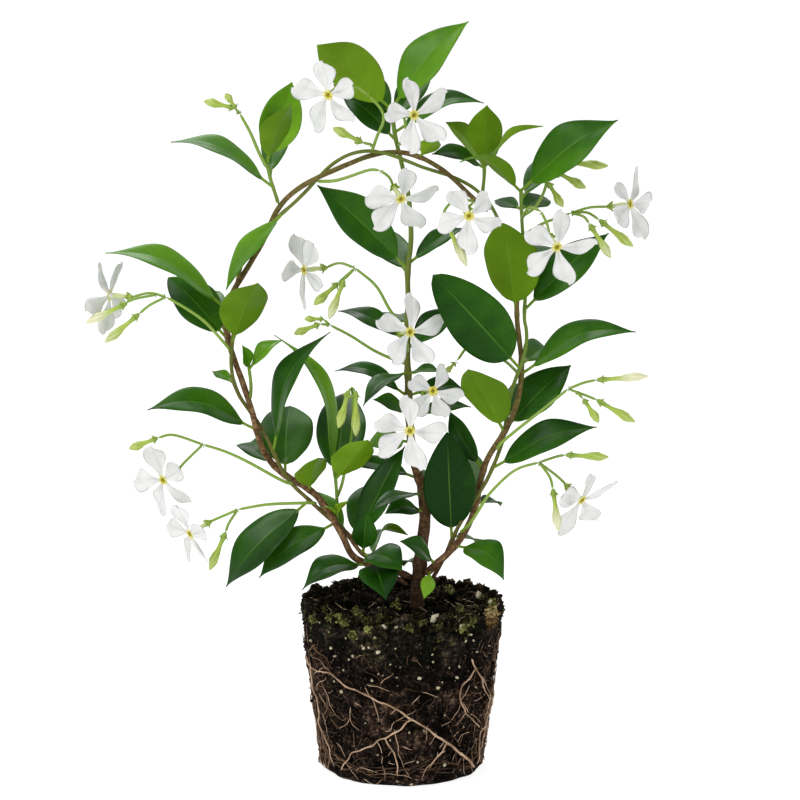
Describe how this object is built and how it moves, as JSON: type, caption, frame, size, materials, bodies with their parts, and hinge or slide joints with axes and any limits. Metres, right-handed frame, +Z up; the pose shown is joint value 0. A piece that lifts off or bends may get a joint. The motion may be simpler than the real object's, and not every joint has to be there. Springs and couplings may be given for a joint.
{
  "type": "flowering climbing plant on its root ball",
  "caption": "Star jasmine trained as a hoop of its own twined stems, with glossy leaves and white pinwheel blooms, standing on a bare root ball.",
  "frame": {"origin": "middle of the root ball's flat underside", "axes": "+Z up, -Y towards the viewer that the hoop faces, +X to that viewer's right"},
  "size_m": [0.2256, 0.0846, 0.3017],
  "materials": {
    "soil": "matt, crumbly dark peat",
    "root": "matt tan root",
    "leaf": "glossy evergreen leaf on brown and green stem",
    "stalk": "satin yellow-green stalk",
    "petal": "soft matt white petal"
  },
  "bodies": {
    "root": {"root_ball": "soil", "surface_roots": "root", "centre_stem": "leaf", "left_arm": "leaf", "right_arm": "leaf", "left_twiner": "leaf", "right_twiner": "leaf", "low_left_twig": "leaf", "left_sprig": "leaf", "top_left_twig": "leaf", "top_right_twig": "leaf", "spray_top_left": "stalk", "spray_top": "stalk", "spray_under_arch": "stalk", "spray_arch_right": "stalk", "spray_right_front": "stalk", "spray_right_buds": "stalk", "spray_far_right": "stalk", "spray_centre_left": "stalk", "spray_centre_left_low": "stalk", "spray_twig_buds": "stalk", "spray_far_left": "stalk", "spray_left_low": "stalk", "spray_left_lowest": "stalk", "spray_right": "stalk", "spray_right_low": "stalk", "spray_behind_leaf": "stalk", "stalk_top": "stalk", "stalk_centre": "stalk", "stalk_centre_small": "stalk", "stalk_centre_low": "stalk", "bloom_top_left": "petal", "bloom_top": "petal", "bloom_under_arch": "petal", "bloom_arch_right": "petal", "bloom_right": "petal", "bloom_far_right": "petal", "bloom_left_inner": "petal", "bloom_centre": "petal", "bloom_centre_small": "petal", "bloom_centre_low": "petal", "bloom_far_left": "petal", "bloom_left_low": "petal", "bloom_left_lowest": "petal", "bloom_right_low": "petal"}
  },
  "joints": []
}
